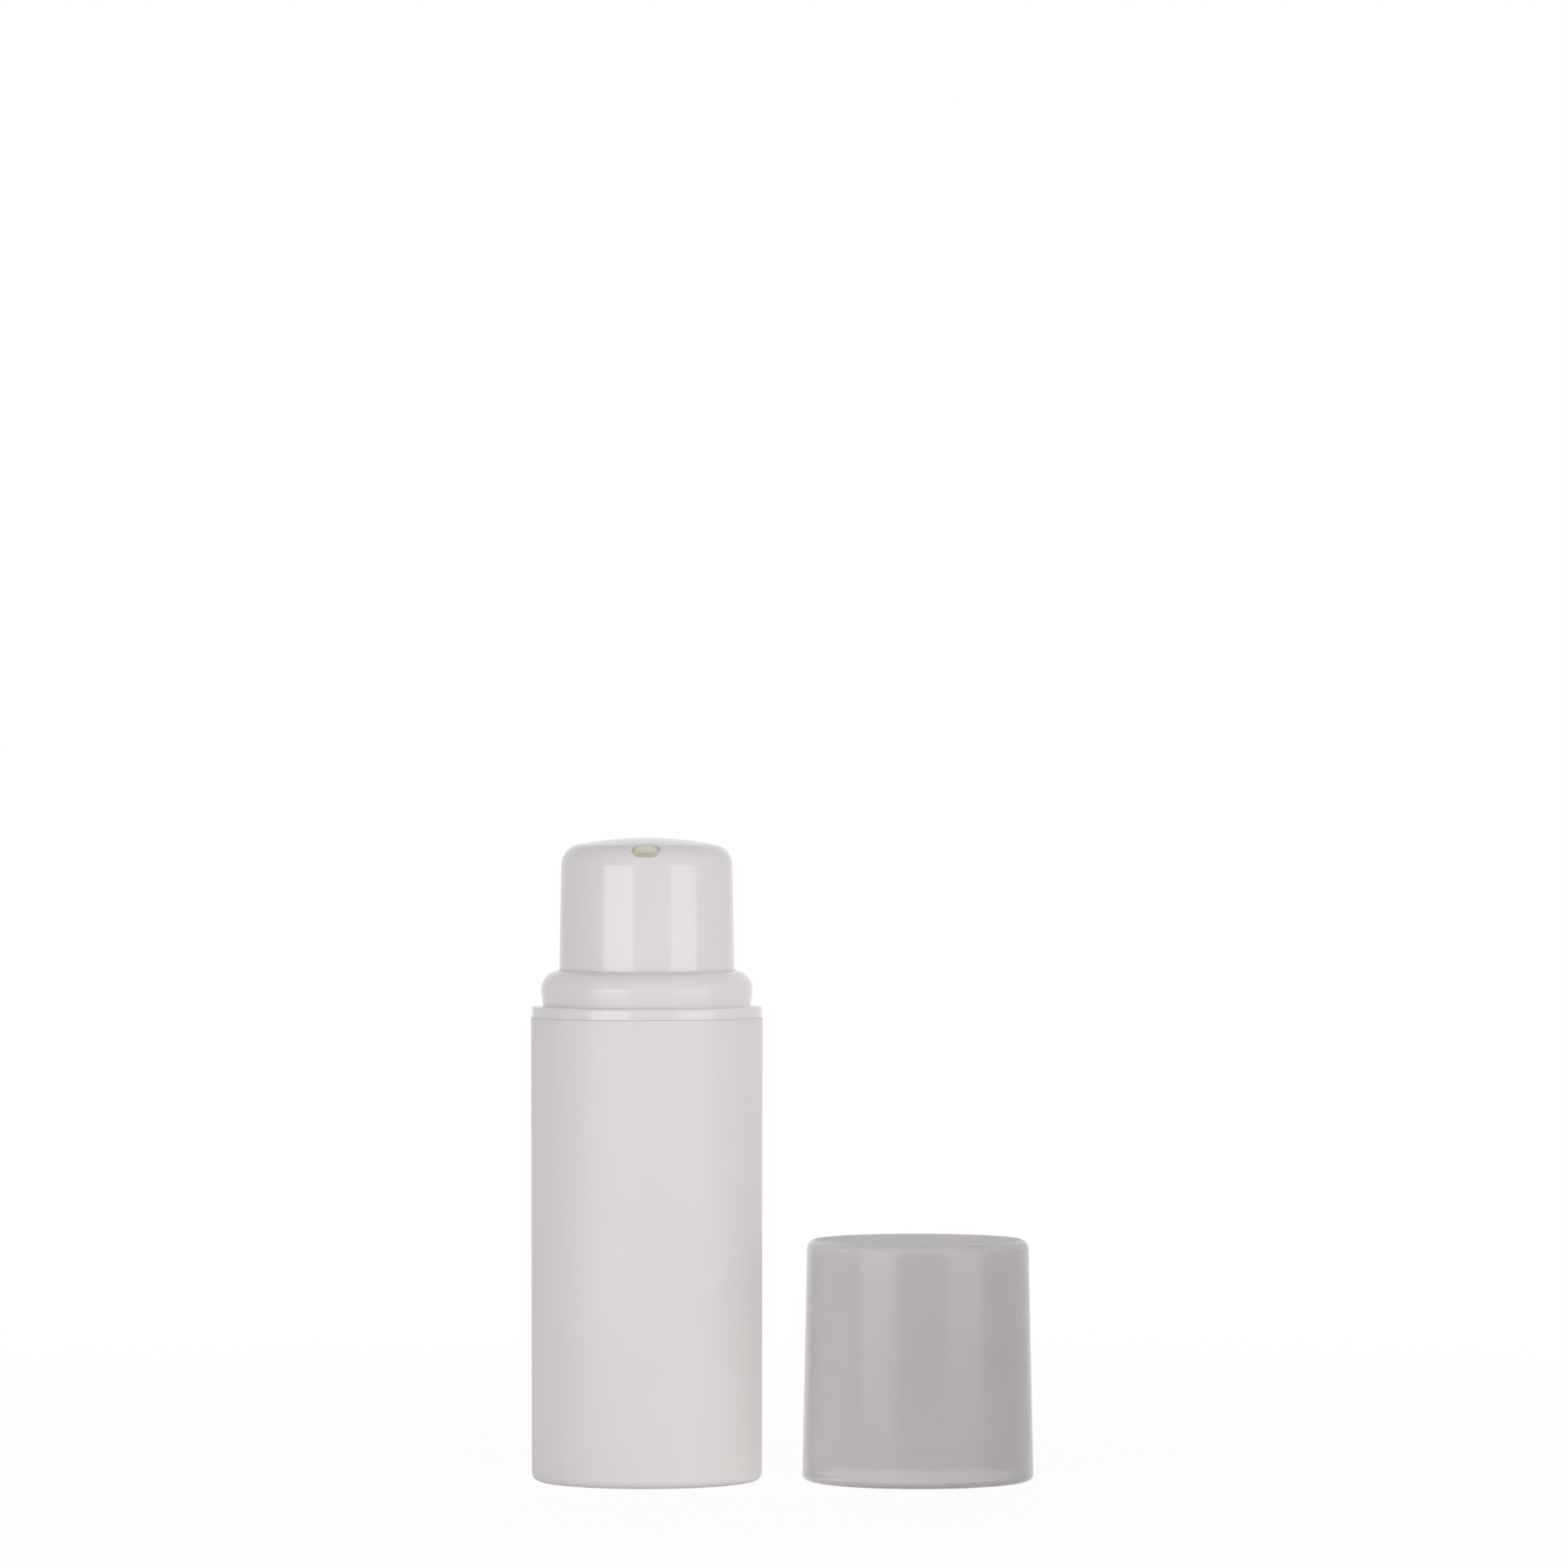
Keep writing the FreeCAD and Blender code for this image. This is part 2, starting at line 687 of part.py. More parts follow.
def corner_start(radius):
    """Where an arc about the head's corner centre meets the head's wall."""
    return f"corner_centre + ({radius}) * head_level", f"corner_level + ({radius}) * head_tip"


def corner_end(crown):
    """Where the head's corner arc meets a crown of the given radius."""
    return (f"corner_centre * ({crown}) * crown_share",
            f"crown_centre + (corner_level - crown_centre) * ({crown}) * crown_share")


def make_head_cavity():
    """The hollow of the actuator: all that lies round its stem socket, spring ring and nozzle."""
    body = new_body("head_cavity")
    turned(body, "cavity_turning", [
        ("0", "skirt_foot"),
        ("cavity_foot_radius", "skirt_foot"),
        (*corner_start("cavity_corner"), "cavity_corner"),
        (*corner_end("ceiling_radius"), "ceiling_radius"),
        ("0", "head_top - head_wall"),
    ])
    turned(body, "spring_ring", [
        ("spring_ring_bore", "spring_ring_foot"),
        ("spring_ring_skin", "spring_ring_foot"),
        ("spring_ring_skin", "head_top"),
        ("spring_ring_bore", "head_top"),
    ], kind="Groove")
    turned(body, "socket_tube", [
        ("0", "socket_foot"),
        ("socket_skin", "socket_foot"),
        ("socket_skin", "head_top"),
        ("0", "head_top"),
    ], kind="Groove")
    sketch = slot_sketch(body, "nozzle_outline", "nozzle_width", "nozzle_height", "0")
    pocket(body, "nozzle_tube", sketch, along_normal=True)
    return body


def orifice_edges(feature):
    """Names of the edges where the insert's seat opens on the outside of the head."""
    tilt = math.radians(number("channel_tilt"))
    outward = FreeCAD.Vector(0, -math.cos(tilt), math.sin(tilt))
    upward = FreeCAD.Vector(0, math.sin(tilt), math.cos(tilt))
    start = FreeCAD.Vector(0, 0, number("channel_level"))
    end_radius = number("orifice_height") / 2
    end_centre = number("orifice_width") / 2 - end_radius
    names = []
    for index, edge in enumerate(feature.Shape.Edges, start=1):
        if edge.Degenerated or isinstance(edge.Curve, Part.Line):
            continue
        points = [point - start for point in edge.discretize(EDGE_SAMPLES)]
        reaches = [math.hypot(max(abs(point.x) - end_centre, 0), point.dot(upward)) for point in points]
        on_seat = max(abs(reach - end_radius) for reach in reaches) < EDGE_TOLERANCE
        if on_seat and min(point.dot(outward) for point in points) > number("insert_front"):
            names.append(f"Edge{index}")
    if not names:
        raise RuntimeError("the orifice has no edge")
    return names


def make_actuator():
    cavity = make_head_cavity()
    body = new_body("actuator")
    turned(body, "head_turning", [
        ("0", "skirt_foot"),
        ("head_foot_radius", "skirt_foot"),
        (*corner_start("head_corner"), "head_corner"),
        (*corner_end("crown_radius"), "crown_radius"),
        ("0", "head_top"),
    ])
    hollow = body.newObject("PartDesign::Boolean", "head_hollow")
    hollow.Type = "Cut"
    hollow.setObjects([cavity])
    document.recompute()
    turned(body, "stem_socket", [
        ("0", "socket_foot"),
        ("socket_bore + socket_lead", "socket_foot"),
        ("socket_bore", "socket_foot + socket_lead"),
        ("socket_bore", "stem_top"),
        ("stem_bore", "stem_top"),
        ("stem_bore", "passage_top"),
        ("0", "passage_top"),
    ], kind="Groove")
    channel = slot_sketch(body, "channel_outline", "channel_width", "channel_height", "0")
    pocket(body, "channel", channel, along_normal=True)
    seat = slot_sketch(body, "insert_seat_outline", "orifice_width", "orifice_height", "insert_back")
    pocket(body, "insert_seat", seat, along_normal=True)
    rounded(body, "orifice_edge", orifice_edges(body.Tip), "orifice_round")
    pieces["actuator"] = body


def make_nozzle_insert():
    body = new_body("nozzle_insert")
    outline = slot_sketch(body, "insert_outline", "insert_width", "insert_height", "insert_back")
    pad(body, "insert_block", outline, "insert_length")
    slit = slot_sketch(body, "insert_slit_outline", "slit_width", "slit_height", "insert_back")
    pocket(body, "insert_slit", slit, along_normal=True)
    pieces["nozzle_insert"] = body


def make_cap():
    body = new_body("cap")
    turned(body, "cap_shell", [
        ("lip_radius + cap_lead", "0"),
        ("body_radius", "0"),
        ("cap_top_radius", "cap_height"),
        ("0", "cap_height"),
        ("0", "cap_ceiling"),
        ("cap_bore_top", "cap_ceiling"),
        ("bead_radius", "cap_groove_over + cap_groove_ramp"),
        ("cap_groove_radius", "cap_groove_over"),
        ("cap_groove_radius", "cap_groove_under"),
        ("lip_radius", "cap_groove_under - cap_groove_ramp"),
        ("lip_radius", "cap_lead"),
    ])
    rounded_rings(body, "cap_top_edge", [("cap_top_radius", "cap_height")], "cap_round")
    rounded_rings(body, "cap_ceiling_edge", [("cap_bore_top", "cap_ceiling")], "cap_inner_round")
    rounded_rings(body, "cap_mouth_edge", [("body_radius", "0")], "cap_mouth_round")
    body.setExpression("Placement.Base.x", formula("cap_place"))
    pieces["cap"] = body


def spring_point(turn, turns, rise):
    """Point and direction on the coil: the turns lie closer together towards both ends."""
    radius = number("spring_radius")
    closing = number("spring_closing")
    share = turn / turns
    foot = number("plug_foot + spring_seat_gap + spring_wire / 2")
    angle = 2 * math.pi * turn
    level = foot + rise * (share - closing * math.sin(2 * math.pi * share) / (2 * math.pi))
    slope = rise / turns * (1 - closing * math.cos(2 * math.pi * share)) / (2 * math.pi)
    point = FreeCAD.Vector(radius * math.cos(angle), radius * math.sin(angle), level)
    direction = FreeCAD.Vector(-radius * math.sin(angle), radius * math.cos(angle), slope)
    return point, direction.normalize()


def biarc(start, start_direction, end, end_direction):
    """Two arcs that leave start and reach end in the given directions and meet smoothly."""
    chord = end - start
    both = start_direction + end_direction
    bend = 2 * (1 - start_direction.dot(end_direction))
    along = chord.dot(both)
    reach = (math.sqrt(along ** 2 + bend * chord.dot(chord)) - along) / bend
    first = start + start_direction * reach
    second = end - end_direction * reach
    joint = (first + second) / 2
    return [arc_through(start, first, joint), arc_through(joint, second, end)]


def arc_through(start, corner, end):
    """The arc from start to end that is tangent to both lines to the corner."""
    middle = (start + end) / 2
    to_corner = corner - middle
    half_chord = (end - start).Length / 2
    half_turn = math.atan2(to_corner.Length, half_chord)
    sagitta = half_chord * math.tan(half_turn / 2)
    return Part.Arc(start, middle + to_corner.normalize() * sagitta, end).toShape()


def least_gap(turns, rise):
    """Smallest clear distance between one turn of the wire and the next, on sampled points."""
    count = int(turns * GAP_SAMPLES_PER_TURN)
    points = [spring_point(turns * step / count, turns, rise)[0] for step in range(count + 1)]
    apart = GAP_SAMPLES_PER_TURN // 2
    distances = [(points[later] - points[first]).Length
                 for first in range(len(points)) for later in range(first + apart, len(points))]
    return min(distances) - number("spring_wire")


def make_return_spring():
    turns = number("spring_turns")
    rise = number("spring_length - spring_wire - 2 * spring_seat_gap")
    quarters = round(turns * 4)
    stations = [spring_point(turns * step / quarters, turns, rise) for step in range(quarters + 1)]
    edges = []
    for (start, leaving), (end, arriving) in zip(stations, stations[1:]):
        edges.extend(biarc(start, leaving, end, arriving))
    path = Part.Wire(edges)
    start, direction = stations[0]
    section = Part.Wire(Part.Circle(start, direction, number("spring_wire") / 2).toShape())
    spring = document.addObject("Part::Feature", "return_spring")
    spring.Shape = path.makePipeShell([section], True, False)
    expected = path.Length * math.pi * number("spring_wire") ** 2 / 4
    print(f"return_spring: volume {spring.Shape.Volume:.2f}, section times length {expected:.2f}")
    print(f"return_spring: least gap between turns {least_gap(turns, rise):.2f}")
    pieces["return_spring"] = spring


def check_document():
    document.recompute()
    for item in document.Objects:
        if "Invalid" in item.State or "Error" in item.State:
            raise RuntimeError(item.Name + " failed")
    for label, piece in pieces.items():
        if piece.Shape.isNull() or not piece.Shape.isValid():
            raise RuntimeError(label + " has no valid shape")
        if len(piece.Shape.Solids) != 1:
            raise RuntimeError(label + " is not one solid")


def write_parts():
    os.makedirs("parts", exist_ok=True)
    for label, piece in pieces.items():
        piece.Label = label
        piece.Shape.exportStep(f"parts/{label}.step")
        box = piece.Shape.BoundBox
        print(f"{label}: {piece.Shape.Volume:.1f} mm3, z {box.ZMin:.2f} to {box.ZMax:.2f}")


fill_tables()
make_bottle()
make_follower_piston()
make_housing_gasket()
make_pump_housing()
make_inlet_ball()
make_chaplet()
make_pump_piston()
make_piston_rod()
make_stem()
make_collar()
make_actuator()
make_nozzle_insert()
make_return_spring()
make_cap()
check_document()
write_parts()
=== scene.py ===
"""Looks of the airless pump bottle: finishes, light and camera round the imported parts."""

import json
import math

import bmesh
import bpy
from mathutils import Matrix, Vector


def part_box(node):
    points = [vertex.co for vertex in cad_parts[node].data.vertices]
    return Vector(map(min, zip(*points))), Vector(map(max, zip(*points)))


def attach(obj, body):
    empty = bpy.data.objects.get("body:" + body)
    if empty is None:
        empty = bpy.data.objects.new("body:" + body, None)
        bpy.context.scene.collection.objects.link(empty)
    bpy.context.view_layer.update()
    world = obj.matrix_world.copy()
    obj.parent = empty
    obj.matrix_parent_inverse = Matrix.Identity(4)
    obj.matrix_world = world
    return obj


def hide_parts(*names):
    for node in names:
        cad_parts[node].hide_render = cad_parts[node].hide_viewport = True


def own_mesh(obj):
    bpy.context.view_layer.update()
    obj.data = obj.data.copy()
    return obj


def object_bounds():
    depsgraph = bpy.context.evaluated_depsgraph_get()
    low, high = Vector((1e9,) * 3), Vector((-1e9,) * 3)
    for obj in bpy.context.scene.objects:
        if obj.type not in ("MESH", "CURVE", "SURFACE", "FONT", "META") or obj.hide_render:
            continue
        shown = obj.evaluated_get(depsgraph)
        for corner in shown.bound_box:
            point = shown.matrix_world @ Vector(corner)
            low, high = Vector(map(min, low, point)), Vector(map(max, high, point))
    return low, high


# Lengths of pieces and finishes are millimetres, and those of the stage, light and camera are metres.
MM = 0.001

# Camera: level, in front of the bottle and a little above its head
EYE = Vector((0.0167, -1.0, 0.08475))
LEVEL_VIEW = (math.radians(90.0), 0.0, 0.0)
VIEW_WIDTH_AT_AXIS = 0.19097
SENSOR_WIDTH = 36.0

# Stage
WHITE = (1.0, 1.0, 1.0, 1.0)
FLOOR_HALF_WIDTH = 4.0
FLOOR_DROP = 0.00002
FLOOR_COLOUR = (0.86, 0.86, 0.86, 1.0)
FLOOR_WHITE_NEAR = 0.955
FLOOR_FADE_START = 0.05
FLOOR_FADE_END = 0.30

# Soft light of the room, which comes from its front and back
FRONT_TO_BACK = (0.0, 1.0, 0.0)
AMBIENT_SIDE = (0.0, 0.0, 0.0, 1.0)
AMBIENT_FRONT = (1.42, 1.42, 1.43, 1.0)

# Lamps: panels that face the middle of the object, at angles in degrees
LAMPS = {
    "key_left": {
        "azimuth": -39.0, "elevation": 2.7, "distance": 0.3,
        "size": (0.22, 0.104), "watts": 0.175,
    },
    "key_right": {
        "azimuth": 49.0, "elevation": 2.7, "distance": 0.3,
        "size": (0.21, 0.104), "watts": 0.122,
    },
    "top": {
        "azimuth": 0.0, "elevation": 85.0, "distance": 1.0,
        "size": (1.6, 1.6), "watts": 3.0,
    },
    "back": {
        "azimuth": 180.0, "elevation": 20.0, "distance": 0.9,
        "size": (0.3, 0.4), "watts": 1.3,
    },
    "fill_left": {
        "azimuth": -92.0, "elevation": 10.0, "distance": 0.6,
        "size": (0.5, 0.4), "watts": 0.9,
    },
    "fill_right": {
        "azimuth": 90.0, "elevation": 10.0, "distance": 0.6,
        "size": (0.5, 0.4), "watts": 0.89,
    },
}
# Lamps that polished surfaces reflect
REFLECTED = ("key_left", "key_right")
# Lamps that light only these pieces and cast no shadow
FLAGGED = {
    "fill_left": ("cap_shell",),
    "fill_right": ("bottle_shell", "collar_ring", "actuator", "nozzle_insert"),
}

# Finishes: a mottle blends two colours, wear spreads the roughness, and bumps have a height
NOISE_ROUGHNESS = 0.55
NOISE_LOW = 0.3
NOISE_HIGH = 0.7
SCATTER_TINT = (1.0, 0.95, 0.9)
FINISHES = {
    "satin_white": {
        "colours": ((0.761, 0.724, 0.717), (0.782, 0.743, 0.735)),
        "mottle": {"size": 12.0},
        "roughness": (0.44, 0.54),
        "wear": {"size": 4.0, "stretch": (1.0, 1.0, 12.0)},
        "bumps": [
            {"height": 0.012, "noise": {"size": 0.22, "detail": 2.0}},
            {"height": 0.03, "noise": {"size": 12.0}},
        ],
        "scatter": {"weight": 0.15, "depth": 1.2},
    },
    "gloss_white": {
        "colours": ((0.761, 0.716, 0.731), (0.782, 0.735, 0.751)),
        "mottle": {"size": 10.0},
        "roughness": (0.13, 0.18),
        "wear": {"size": 10.0},
        "bumps": [{"height": 0.005, "noise": {"size": 1.4, "detail": 1.0}}],
        "scatter": {"weight": 0.12, "depth": 1.2},
    },
    "frosted_cap": {
        "colours": ((0.683, 0.65, 0.655), (0.713, 0.68, 0.686)),
        "mottle": {"size": 12.0},
        "roughness": (0.15, 0.21),
        "wear": {"size": 3.0, "stretch": (1.0, 1.0, 10.0)},
        "bumps": [{"height": 0.004, "noise": {"size": 1.6, "detail": 1.0}}],
        "scatter": {"weight": 1.0, "depth": 3.0},
        "shader": {"Specular IOR Level": 0.3, "Transmission Weight": 0.42, "IOR": 1.49},
    },
    "natural_pp": {
        "colours": ((0.80, 0.80, 0.77), (0.84, 0.84, 0.82)),
        "mottle": {"size": 6.0},
        "roughness": (0.30, 0.40),
        "wear": {"size": 6.0},
        "bumps": [{"height": 0.008, "noise": {"size": 0.5, "detail": 2.0}}],
        "scatter": {"weight": 0.3, "depth": 1.5},
    },
    "natural_pe": {
        "colours": ((0.67, 0.655, 0.50), (0.73, 0.715, 0.57)),
        "mottle": {"size": 6.0},
        "roughness": (0.40, 0.50),
        "wear": {"size": 6.0},
        "bumps": [{"height": 0.008, "noise": {"size": 0.5, "detail": 2.0}}],
        "scatter": {"weight": 0.3, "depth": 1.5},
    },
    "spring_steel": {
        "colours": ((0.56, 0.56, 0.57), (0.68, 0.68, 0.69)),
        "mottle": {"size": 0.4, "stretch": (6.0, 6.0, 1.0)},
        "roughness": (0.22, 0.36),
        "wear": {"size": 0.4, "stretch": (6.0, 6.0, 1.0)},
        "bumps": [{"height": 0.004, "noise": {"size": 0.4, "stretch": (6.0, 6.0, 1.0)}}],
        "shader": {"Metallic": 1.0},
    },
    "valve_glass": {
        "colours": ((0.86, 0.90, 0.90), (0.94, 0.97, 0.97)),
        "mottle": {"size": 0.8},
        "roughness": (0.02, 0.06),
        "wear": {"size": 0.8},
        "shader": {"Transmission Weight": 1.0, "IOR": 1.52},
    },
}
CAP_MATT_DEPTH = 0.1
CAP_MATT = 0.6

# Turned meshes
SEGMENTS = 192
ARC_STEP = math.radians(12.0)
FEWEST_ARC_STEPS = 2
LONGEST_RUN = 2.5

# Bottle
BODY_DRAFT = 0.1
BOTTLE_WALL = 1.5
BASE_ROUND = 1.0
FOOT_WIDTH = 1.6
BASE_RECESS = 0.8
FLOOR_THICKNESS = 1.2
SEAT_WIDTH = 0.5
VENT_RADIUS = 1.2
EDGE_ROUND = 0.15
RIM_ROUND = 0.08
SOFT_ROUND = 0.4

# Snap ring between collar and bottle
PLUG_CLEARANCE = 0.05
SNAP_DEPTH = 2.5
SNAP_HEIGHT = 0.25
SNAP_ROOT = 0.8
SNAP_CREST = 0.3

# Collar
SHOULDER_HEIGHT = 1.4
SHOULDER_INSET = 0.08
SHOULDER_ROUND = 0.3
NECK_CLEARANCE = 0.15
BEAD_HEIGHT = 2.0
CROWN_LAND = 0.05
COLLAR_WALL = 1.8
THROAT_DEPTH = 3.0
THROAT_RELIEF = 0.7

# Cap
CAP_DRAFT = 0.6
CAP_LIP_WALL = 1.3
CAP_SIDE = 1.1
CAP_TOP = 1.1
CAP_ROUND = 1.1
CAP_INNER_ROUND = 0.6
CAP_MOUTH_ROUND = 0.8
CAP_LEAD = 0.3
CAP_SNAP = 0.11
CAP_GROOVE = 0.1
CAP_GROOVE_HEIGHT = 1.6
CAP_GROOVE_RAMP = 0.15

# Return spring
SPRING_WIRE = 0.8
SPRING_TURNS = 6
SPRING_CLOSING = 0.4
SPRING_STEPS_PER_TURN = 48
WIRE_SIDES = 16


def feed(tree, shader, name, value):
    """Set a node's input to a number or a colour, or join another node's output to it."""
    socket = shader.inputs[name]
    if isinstance(value, bpy.types.NodeSocket):
        tree.links.new(value, socket)
    else:
        socket.default_value = value


def add_node(tree, kind, settings=None, **inputs):
    """Add a shader node with its settings and inputs, whose names have underscores for spaces."""
    made = tree.nodes.new("ShaderNode" + kind)
    for name, value in (settings or {}).items():
        setattr(made, name, value)
    for name, value in inputs.items():
        feed(tree, made, name.replace("_", " "), value)
    return made


def calculate(tree, operation, first, second):
    """One step of arithmetic on two outputs."""
    step = add_node(tree, "Math", {"operation": operation})
    tree.links.new(first, step.inputs[0])
    tree.links.new(second, step.inputs[1])
    return step.outputs["Value"]


def blend(tree, share, first, second):
    """A colour between two, each of which may be another node's output."""
    mix = add_node(tree, "Mix", {"data_type": "RGBA"}, Factor=share, A=first, B=second)
    return mix.outputs["Result"]


def noise(tree, size, stretch=(1.0, 1.0, 1.0), detail=3.0):
    """Noise whose features are about size millimetres across, stretched along each axis."""
    place = add_node(tree, "TexCoord").outputs["Object"]
    mapping = add_node(tree, "Mapping", Vector=place, Scale=[1.0 / factor for factor in stretch])
    texture = add_node(tree, "TexNoise", Vector=mapping.outputs["Vector"], Scale=1.0 / (size * MM),
                       Detail=detail, Roughness=NOISE_ROUGHNESS)
    return texture.outputs["Fac"]


def spread(tree, value, low, high):
    """Map the middle of a noise's range onto low to high."""
    ramp = add_node(tree, "MapRange", {"interpolation_type": "SMOOTHSTEP"}, Value=value,
                    From_Min=NOISE_LOW, From_Max=NOISE_HIGH, To_Min=low, To_Max=high)
    return ramp.outputs["Result"]


def tinted(tree, value, first, second):
    """A colour between two, chosen by a noise."""
    return blend(tree, spread(tree, value, 0.0, 1.0), (*first, 1.0), (*second, 1.0))


def bumped(tree, bumps):
    """Stack bumps, each a noise and its height, and return the normal."""
    normal = None
    for row in bumps:
        height = noise(tree, **row["noise"])
        bump = add_node(tree, "Bump", Height=height, Distance=row["height"] * MM)
        if normal is not None:
            tree.links.new(normal, bump.inputs["Normal"])
        normal = bump.outputs["Normal"]
    return normal


def let_light_in(shader, weight, depth):
    """Light that enters the plastic and comes out again within about depth millimetres."""
    shader.inputs["Subsurface Weight"].default_value = weight
    shader.inputs["Subsurface Radius"].default_value = SCATTER_TINT
    shader.inputs["Subsurface Scale"].default_value = depth * MM


def make_finish(name, row):
    """The material of a row of the finishes."""
    material = bpy.data.materials.new(name + "_look")
    material.use_nodes = True
    tree = material.node_tree
    shader = tree.nodes["Principled BSDF"]
    mottle = noise(tree, **row["mottle"])
    wear = noise(tree, **row["wear"])
    feed(tree, shader, "Base Color", tinted(tree, mottle, *row["colours"]))
    feed(tree, shader, "Roughness", spread(tree, wear, *row["roughness"]))
    if "bumps" in row:
        feed(tree, shader, "Normal", bumped(tree, row["bumps"]))
    if "scatter" in row:
        let_light_in(shader, **row["scatter"])
    for socket, value in row.get("shader", {}).items():
        shader.inputs[socket].default_value = value
    return material


def matt_top(material, top):
    """Roughen a finish at the level of the cap's flat top."""
    tree = material.node_tree
    shader = tree.nodes["Principled BSDF"]
    polished = shader.inputs["Roughness"].links[0].from_socket
    place = add_node(tree, "TexCoord").outputs["Object"]
    height = add_node(tree, "SeparateXYZ", Vector=place).outputs["Z"]
    matt = add_node(tree, "MapRange", Value=height, From_Min=(top - CAP_MATT_DEPTH) * MM,
                    From_Max=top * MM, To_Max=CAP_MATT)
    feed(tree, shader, "Roughness", calculate(tree, "ADD", polished, matt.outputs["Result"]))


def make_looks():
    """Every finish by the name of its slot, the cap's with a matt top."""
    looks = {name: make_finish(name, row) for name, row in FINISHES.items()}
    matt_top(looks["frosted_cap"], box_mm("cap")[1].z)
    return looks


def dress(frame, looks):
    """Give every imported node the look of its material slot."""
    for part in frame["record"]["subparts"]:
        node = frame["nodes"][part["node"]]
        node.data.materials[0] = looks[part["material_slot"]]


def box_mm(node):
    """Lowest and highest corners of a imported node, in millimetres."""
    return [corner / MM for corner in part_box(node)]


def arc(centre, radius, start, end):
    """Unrounded corners on an arc of a half section, from one angle to another, in degrees."""
    start, end = math.radians(start), math.radians(end)
    steps = max(FEWEST_ARC_STEPS, math.ceil(abs(end - start) / ARC_STEP))
    angles = [start + (end - start) * step / steps for step in range(steps + 1)]
    return [(centre[0] + radius * math.cos(angle), centre[1] + radius * math.sin(angle), 0.0)
            for angle in angles]


def rounded_corner(before, corner, after, radius):
    """The arc that rounds off a corner between two straight runs."""
    towards_before = (before - corner).normalized()
    towards_after = (after - corner).normalized()
    half = towards_before.angle(towards_after) / 2
    start = corner + towards_before * (radius / math.tan(half))
    end = corner + towards_after * (radius / math.tan(half))
    centre = corner + (towards_before + towards_after).normalized() * (radius / math.sin(half))
    turn = math.pi - 2 * half
    steps = max(FEWEST_ARC_STEPS, math.ceil(turn / ARC_STEP))
    spokes = [(start - centre).slerp(end - centre, step / steps) for step in range(steps + 1)]
    return [centre + spoke.normalized() * radius for spoke in spokes]


def outline_points(corners):
    """A closed outline from corners, each a radius, a height and a rounding."""
    places = [Vector(corner[:2]) for corner in corners]
    points = []
    for index, corner in enumerate(corners):
        before = places[index - 1]
        after = places[(index + 1) % len(places)]
        if corner[2] > 0.0:
            points.extend(rounded_corner(before, places[index], after, corner[2]))
        else:
            points.append(places[index])
    return points


def with_even_runs(points):
    """Divide the long runs of a closed outline, other than one along the axis."""
    divided = []
    for start, end in zip(points, points[1:] + points[:1]):
        pieces = max(1, math.ceil((end - start).length / LONGEST_RUN))
        if start.x == 0.0 and end.x == 0.0:
            pieces = 1
        divided.extend(start.lerp(end, step / pieces) for step in range(pieces))
    return divided


def turned_mesh(name, corners, axis_x=0.0):
    """Turn a closed half section about an upright axis into a mesh piece."""
    build = bmesh.new()
    rings = []
    for point in with_even_runs(outline_points(corners)):
        count = SEGMENTS if point.x > 0.0 else 1
        angles = [2 * math.pi * step / SEGMENTS for step in range(count)]
        rings.append([build.verts.new(((axis_x + point.x * math.cos(angle)) * MM,
                                       point.x * math.sin(angle) * MM, point.y * MM)) for angle in angles])
    for ring, following in zip(rings, rings[1:] + rings[:1]):
        join_rings(build, ring, following)
    return mesh_piece(name, build)


def join_rings(build, ring, following):
    """Faces between two rings of points, either of which may be a single point."""
    if len(ring) == 1 and len(following) == 1:
        return
    count = max(len(ring), len(following))
    for step in range(count):
        beside = (step + 1) % count
        if len(ring) == 1:
            build.faces.new((ring[0], following[beside], following[step]))
        elif len(following) == 1:
            build.faces.new((ring[step], ring[beside], following[0]))
        else:
            build.faces.new((ring[step], ring[beside], following[beside], following[step]))


def mesh_piece(name, build):
    """Finish a mesh: normals outward, smooth faces, flats kept flat by their area."""
    bmesh.ops.recalc_face_normals(build, faces=build.faces)
    for face in build.faces:
        face.smooth = True
    mesh = bpy.data.meshes.new(name)
    build.to_mesh(mesh)
    build.free()
    piece = bpy.data.objects.new(name, mesh)
    bpy.context.scene.collection.objects.link(piece)
    piece.modifiers.new("even_normals", "WEIGHTED_NORMAL")
    return piece


def put(piece, body, node, slot, looks):
    """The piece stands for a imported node, moves with its body and takes its finish."""
    piece.data.materials.append(looks[slot])
    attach(piece, body)
    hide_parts(node)


def snap_ring(radius, level, room):
    """Corners of the snap ring between collar and bottle, from its lower side up."""
    root = SNAP_ROOT + room
    crest = SNAP_CREST + room
    top = radius + SNAP_HEIGHT
    return [
        (radius, level - root, EDGE_ROUND),
        (top, level - crest, EDGE_ROUND),
        (top, level + crest, EDGE_ROUND),
        (radius, level + root, EDGE_ROUND),
    ]


